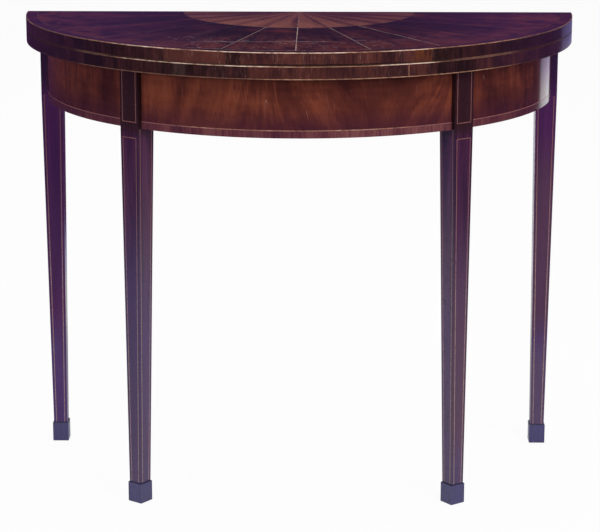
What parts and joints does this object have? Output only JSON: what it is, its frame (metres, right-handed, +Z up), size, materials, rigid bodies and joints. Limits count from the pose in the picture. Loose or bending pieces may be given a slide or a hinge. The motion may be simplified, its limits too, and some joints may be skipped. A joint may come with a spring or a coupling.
{
  "type": "demilune fold-over table",
  "caption": "Half-round side table with a hinged fold-over leaf, radial veneered top with a fan inlay, bowed apron, tapering strung legs and swinging rear gate legs.",
  "frame": {"origin": "on the floor under the middle of the table's box", "axes": "+X to the right along the straight back edge, +Y to the back, +Z up; the bowed front faces -Y"},
  "size_m": [0.914, 0.4597, 0.75],
  "materials": {
    "mahogany_top": "polished radial mahogany veneer",
    "mahogany_edge": "polished crossbanded mahogany",
    "mahogany_border": "polished crossbanded mahogany",
    "mahogany_apron": "polished flame mahogany veneer",
    "mahogany_banding": "polished crossbanded mahogany",
    "mahogany_leg": "polished dark mahogany",
    "mahogany_leaf": "waxed mahogany",
    "faded_mahogany": "polished sand-shaded veneer",
    "boxwood": "polished boxwood string",
    "dark_foot": "dark stained wood",
    "pine": "bare old pine",
    "oak": "bare old oak",
    "beech": "bare old beech",
    "baize": "green wool baize",
    "brass": "aged brass",
    "iron": "dark iron"
  },
  "bodies": {
    "frame": {"lower_leaf_edge_veneer": "mahogany_edge", "lower_leaf_border": "mahogany_border", "apron_veneer_left": "mahogany_apron", "apron_veneer_centre": "mahogany_apron", "apron_veneer_right": "mahogany_apron", "apron_banding": "mahogany_banding", "front_leg_left": "mahogany_leg", "front_leg_right": "mahogany_leg", "lower_leaf_core": "mahogany_leaf", "lower_leaf_edge_strings": "boxwood", "apron_strings": "boxwood", "front_leg_left_strings": "boxwood", "front_leg_right_strings": "boxwood", "front_foot_left": "dark_foot", "front_foot_right": "dark_foot", "apron_course_1": "pine", "apron_course_2": "pine", "apron_course_3": "pine", "apron_course_4": "pine", "medial_brace": "pine", "glue_blocks": "pine", "back_rail": "oak", "fixed_hinge_rail": "beech", "lower_baize": "baize", "lower_hinge_plates": "brass", "leaf_hinge_pins": "brass", "lower_hinge_screws": "brass", "top_screws": "iron", "rail_screws": "iron", "knuckle_pins": "iron"},
    "upper_leaf": {"radial_veneers": "mahogany_top", "upper_leaf_edge_veneer": "mahogany_edge", "upper_leaf_crossbanding": "mahogany_edge", "upper_leaf_border": "mahogany_border", "upper_leaf_core": "mahogany_leaf", "fan_patera": "faded_mahogany", "upper_leaf_edge_strings": "boxwood", "upper_leaf_inner_string": "boxwood", "radial_strings": "boxwood", "patera_string": "boxwood", "upper_baize": "baize", "upper_hinge_plates": "brass", "upper_hinge_screws": "brass"},
    "left_gate": {"left_fly_rail": "beech", "rear_leg_left": "mahogany_leg", "rear_foot_left": "dark_foot", "rear_leg_left_strings": "boxwood"},
    "right_gate": {"right_fly_rail": "beech", "rear_leg_right": "mahogany_leg", "rear_foot_right": "dark_foot", "rear_leg_right_strings": "boxwood"}
  },
  "joints": [
    {"name": "leaf_hinge", "type": "hinge", "parent": "frame", "child": "upper_leaf", "pos_m": [0, 0.2271, 0.7294], "axis": [-1, 0, 0], "range_deg": [0, 180]},
    {"name": "left_gate_hinge", "type": "hinge", "parent": "frame", "child": "left_gate", "pos_m": [-0.125, 0.2006, 0.66], "axis": [0, 0, -1], "range_deg": [0, 90]},
    {"name": "right_gate_hinge", "type": "hinge", "parent": "frame", "child": "right_gate", "pos_m": [0.125, 0.2006, 0.66], "axis": [0, 0, 1], "range_deg": [0, 90]}
  ]
}
